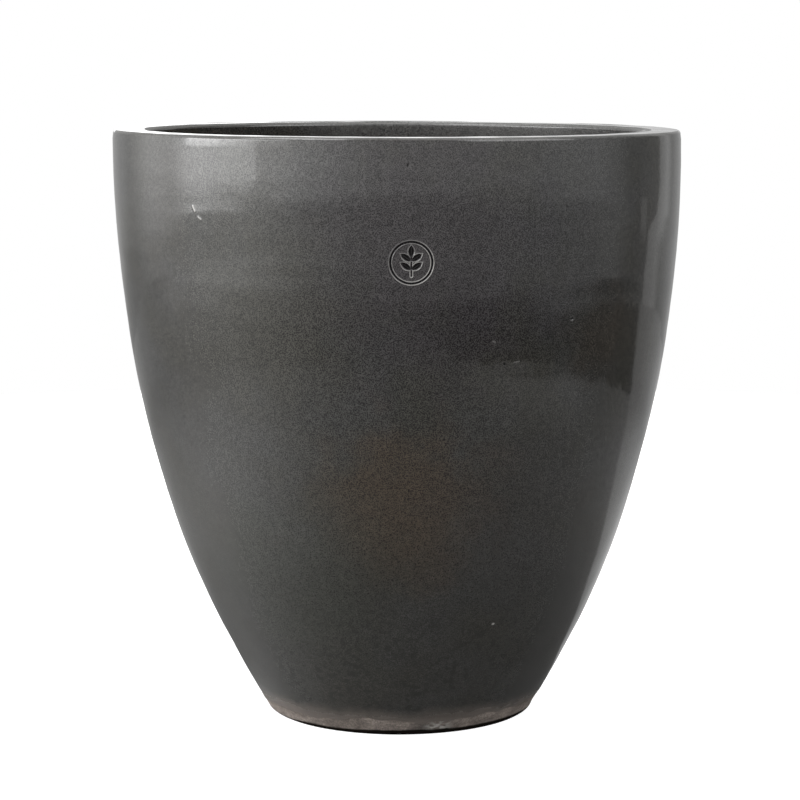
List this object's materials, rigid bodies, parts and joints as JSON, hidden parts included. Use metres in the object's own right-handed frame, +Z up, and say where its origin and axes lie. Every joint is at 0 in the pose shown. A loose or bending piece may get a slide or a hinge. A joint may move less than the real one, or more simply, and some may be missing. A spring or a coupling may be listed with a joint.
{
  "type": "terracotta pot",
  "caption": "Tall open planter pot of glazed terracotta, round and tapering to a bare clay foot, with a flat thick rim and a drain hole.",
  "frame": {"origin": "centre of the foot's underside, on the ground", "axes": "+Z up along the pot's axis; -Y towards the side with the potter's mark"},
  "size_m": [0.5002, 0.5002, 0.52],
  "materials": {
    "fired_clay": "matt, unglazed",
    "dark_glaze": "gloss, mottled dark grey"
  },
  "bodies": {
    "root": {"clay_body": "fired_clay", "glaze_coat": "dark_glaze"}
  },
  "joints": []
}
